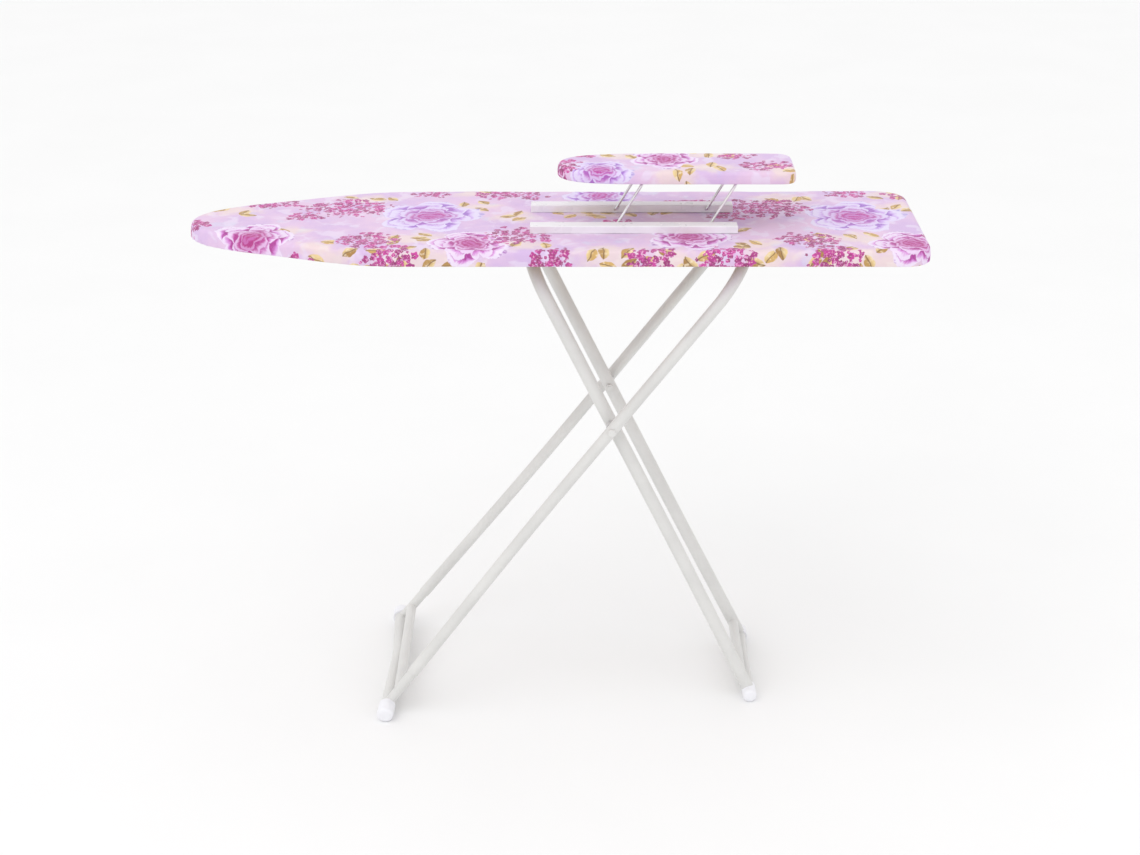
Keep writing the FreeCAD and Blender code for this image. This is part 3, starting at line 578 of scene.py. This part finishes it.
def make_cover(name, outline, low, high, pressed, roll, hem, gather, channel, slack):
    """Fabric cover: flat top, soft rolled edge, side and a gathered hem with an elastic channel."""
    top, bottom = high.z, low.z
    rings, flats = [], []
    step = outline.length / outline.count
    edge = outline.ring(-roll, top)
    across = int((high.y - low.y) / 2 / step)
    for share in np.linspace(0, 1, across):
        ring = spine_ring(outline, edge, share, top)
        px, py = ring[:, 0], ring[:, 1]
        ring[:, 2] += slack * (np.sin(px * 23 + py * 31) * np.sin(py * 47 - px * 9 + 1.0)
                               + 0.6 * np.sin(px * 61 - py * 52 + 2.0 * np.sin(px * 17)))
        ring[:, 2] -= slack * 1.6
        rings.append(ring)
        flats.append(ring[:, :2].copy())
    curl = 0.35 + np.clip(outline.bend / 9.0, 0, 1.0)
    ripple = waves(outline, RIPPLE_LENGTH, 1.5, 0.7)
    broad = waves(outline, BROAD_LENGTH, 1.2, 2.1)
    along = -roll
    border = outline.ring(0.0, 0.0)[:, :2]
    away = np.stack([outline.nx, outline.ny], axis=1)

    def put(out, z, distance, gathered):
        wide = out + gathered * (gather * 0.18 * (1 + ripple) * curl + 0.0003 * (1 + broad))
        ring = outline.ring(0.0, z)
        ring[:, :2] += away * wide[:, None]
        rings.append(ring)
        flats.append(border + away * distance)

    for angle in np.linspace(0, math.pi / 2, 9)[1:]:
        out = -roll + roll * math.sin(angle)
        z = top - slack * 1.6 * (1 - math.sin(angle)) - roll + roll * math.cos(angle)
        put(out, z, along + roll * angle, 0.06 * math.sin(angle))
    along += roll * math.pi / 2
    turn = LOWER_EDGE
    drop = top - roll - bottom - turn
    for share in np.linspace(0, 1, 7)[1:]:
        put(0.0006 * math.sin(math.pi * share), top - roll - drop * share, along + drop * share,
            0.1 + 0.7 * share ** 2)
    along += drop
    for angle in np.linspace(0, math.pi / 2, 6)[1:]:
        put(-turn + turn * math.cos(angle), bottom + turn - turn * math.sin(angle), along + turn * angle, 0.8)
    along += turn * math.pi / 2
    under = bottom - 0.2 * gather
    for share in np.linspace(0, 1, int(hem / HEM_STEP))[1:]:
        rise = gather * share ** 1.5 * (curl * (0.5 + 0.5 * ripple) + 0.15 + 0.15 * broad)
        out = -turn - (hem - turn) * share
        ring = outline.ring(0.0, under)
        shift = out + 0.05 * hem * share * broad
        ring[:, :2] += away * shift[:, None]
        ring[:, 2] -= rise
        rings.append(ring)
        flats.append(border + away * (along + hem * share))
    last, last_flat = rings[-1], flats[-1]
    for angle in np.linspace(0, 1.75 * math.pi, 11)[1:]:
        ring = last.copy()
        ring[:, :2] -= away * (channel * math.sin(angle))
        ring[:, 2] -= channel * (1 - math.cos(angle))
        rings.append(ring)
        flats.append(last_flat + away * channel * angle)
    cover = build_mesh(name, outline, rings, flats, False)
    settle(cover, bottom, pressed)
    return cover


def make_pad(name, outline, low, high, roll):
    """Foam pad under the cover: soft top edge, square lower edge."""
    inset = PAD_INSET
    top, bottom = high.z - PAD_CHAMFER, low.z
    edge = outline.ring(-roll - inset, top)
    rings = []
    for share in np.linspace(0, 1, 24):
        rings.append(spine_ring(outline, edge, share, top))
    for angle in np.linspace(0, math.pi / 2, 7)[1:]:
        rings.append(outline.ring(-inset - roll + roll * math.sin(angle),
                                  top - roll + roll * math.cos(angle)))
    rings.append(outline.ring(-inset, bottom + PAD_CHAMFER))
    rings.append(outline.ring(-inset - PAD_CHAMFER, bottom))
    edge = rings[-1]
    for share in np.linspace(1, 0, 16)[1:]:
        rings.append(spine_ring(outline, edge, share, bottom))
    flats = [ring[:, :2].copy() for ring in rings]
    return build_mesh(name, outline, rings, flats, True)


lilac_rose = rose_group("lilac_rose", (0.78, 0.70, 0.92, 1), (0.62, 0.40, 0.84, 1), (0.36, 0.15, 0.60, 1),
                        (0.38, 0.26, 0.66, 1), (0.50, 0.01, 0.30, 1))
pink_rose = rose_group("pink_rose", (0.86, 0.74, 0.92, 1), (0.68, 0.24, 0.68, 1), (0.40, 0.02, 0.30, 1),
                       (0.34, 0.06, 0.42, 1), (0.44, 0.005, 0.20, 1))
cottons = {"board": make_cotton("board_cotton", BOARD_PRINT, lilac_rose, pink_rose),
           "sleeve": make_cotton("sleeve_cotton", SLEEVE_PRINT, lilac_rose, pink_rose)}
foam = make_foam()
finishes = {
    "fibreboard": make_fibreboard(),
    "white_legs": make_powder_coat("leg_paint", (0.71, 0.705, 0.69, 1), 0.34),
    "white_caps": make_plastic("cap_plastic", (0.86, 0.86, 0.90, 1), 0.36),
    "zinc_steel": make_steel("zinc_plate", (0.66, 0.67, 0.69, 1), 0.34, (60.0, 900.0, 900.0)),
    "bail_wire": make_steel("bright_wire", (0.90, 0.90, 0.90, 1), 0.26, (900.0, 900.0, 120.0)),
    "clear_rail": make_plastic("milky_rail", (0.86, 0.84, 0.87, 1), 0.30),
    "grey_lock": make_plastic("grey_plastic", (0.55, 0.55, 0.57, 1), 0.42),
    "spacer_nylon": make_plastic("nylon", (0.60, 0.60, 0.60, 1), 0.40),
    "cover_cloth": cottons["board"],
    "foam_pad": foam,
}
for part in frame["record"]["subparts"]:
    node = nodes[part["node"]]
    node.material_slots[0].material = finishes[part["material_slot"]]


def cover_board(prefix, body, nose, corner, pressed, roll, hem, gather, channel, slack, spacing):
    """Cloth cover and foam pad that stand for one board's soft CAD nodes."""
    low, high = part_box(prefix + "_cover")
    outline = Outline(low, high, nose, corner, spacing)
    cover = make_cover(prefix + "_cover_cloth", outline, low, high, pressed, roll, hem, gather, channel,
                       slack)
    cover.data.materials.append(cottons[prefix])
    pad_low, pad_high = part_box(prefix + "_pad")
    pad = make_pad(prefix + "_pad_foam", outline, pad_low, pad_high, roll * 0.8)
    pad.data.materials.append(foam)
    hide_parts(prefix + "_cover")
    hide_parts(prefix + "_pad")
    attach(cover, body)
    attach(pad, body)


cover_board("board", "board", BOARD_NOSE, BOARD_CORNER,
            pressed=("sleeve_rail_front", "sleeve_rail_back"), roll=0.0075, hem=0.042,
            gather=0.0032, channel=0.0021, slack=0.00035, spacing=0.0036)
cover_board("sleeve", "sleeve_board", SLEEVE_NOSE, SLEEVE_CORNER,
            pressed=(), roll=0.006, hem=0.016, gather=0.0006, channel=0.0004, slack=0.0002, spacing=0.0026)


# ---------------------------------------------------------------- studio
def make_floor():
    mesh = bpy.data.meshes.new("floor")
    mesh.from_pydata([(-40, -40, 0), (40, -40, 0), (40, 40, 0), (-40, 40, 0)], [], [(0, 1, 2, 3)])
    floor = bpy.data.objects.new("floor", mesh)
    bpy.context.collection.objects.link(floor)
    material, t, shader = new_material("floor_paint", 0.7)
    grain = t.noise(object_place(t), 3.0, 3.0)
    t.put(shader.inputs["Base Color"], t.mix(grain, (0.88, 0.88, 0.88, 1), (0.91, 0.91, 0.91, 1)))
    mesh.materials.append(material)


def soft_light(name, place, target, size, power):
    data = bpy.data.lights.new(name, "AREA")
    data.size = size
    data.energy = power
    light = bpy.data.objects.new(name, data)
    light.location = place
    light.rotation_euler = (Vector(target) - Vector(place)).to_track_quat("-Z", "Y").to_euler()
    bpy.context.collection.objects.link(light)


def make_camera():
    data = bpy.data.cameras.new("camera")
    data.sensor_width = 36.0
    data.lens = 64.82
    camera = bpy.data.objects.new("camera", data)
    camera.location = (0.0231, -2.9838, 1.6938)
    camera.rotation_euler = (math.pi / 2 - 0.400, 0.0, 0.0)
    bpy.context.collection.objects.link(camera)
    bpy.context.scene.camera = camera


make_floor()
make_camera()
world = bpy.data.worlds.new("studio")
world.use_nodes = True
world.node_tree.nodes["Background"].inputs[0].default_value = (1.0, 1.0, 1.0, 1)
world.node_tree.nodes["Background"].inputs[1].default_value = 0.95
bpy.context.scene.world = world
bpy.context.scene.view_settings.view_transform = "Standard"
soft_light("key", (-1.6, -2.4, 2.8), (0, 0, 0.5), 2.4, 12.0)
soft_light("fill", (2.4, -1.6, 1.6), (0, 0, 0.5), 2.0, 4.0)
sun = bpy.data.objects.new("daylight", bpy.data.lights.new("daylight", "SUN"))
sun.data.energy = 0.45
sun.data.angle = 1.0
sun.rotation_euler = (0.35, -0.45, 0.0)
bpy.context.collection.objects.link(sun)
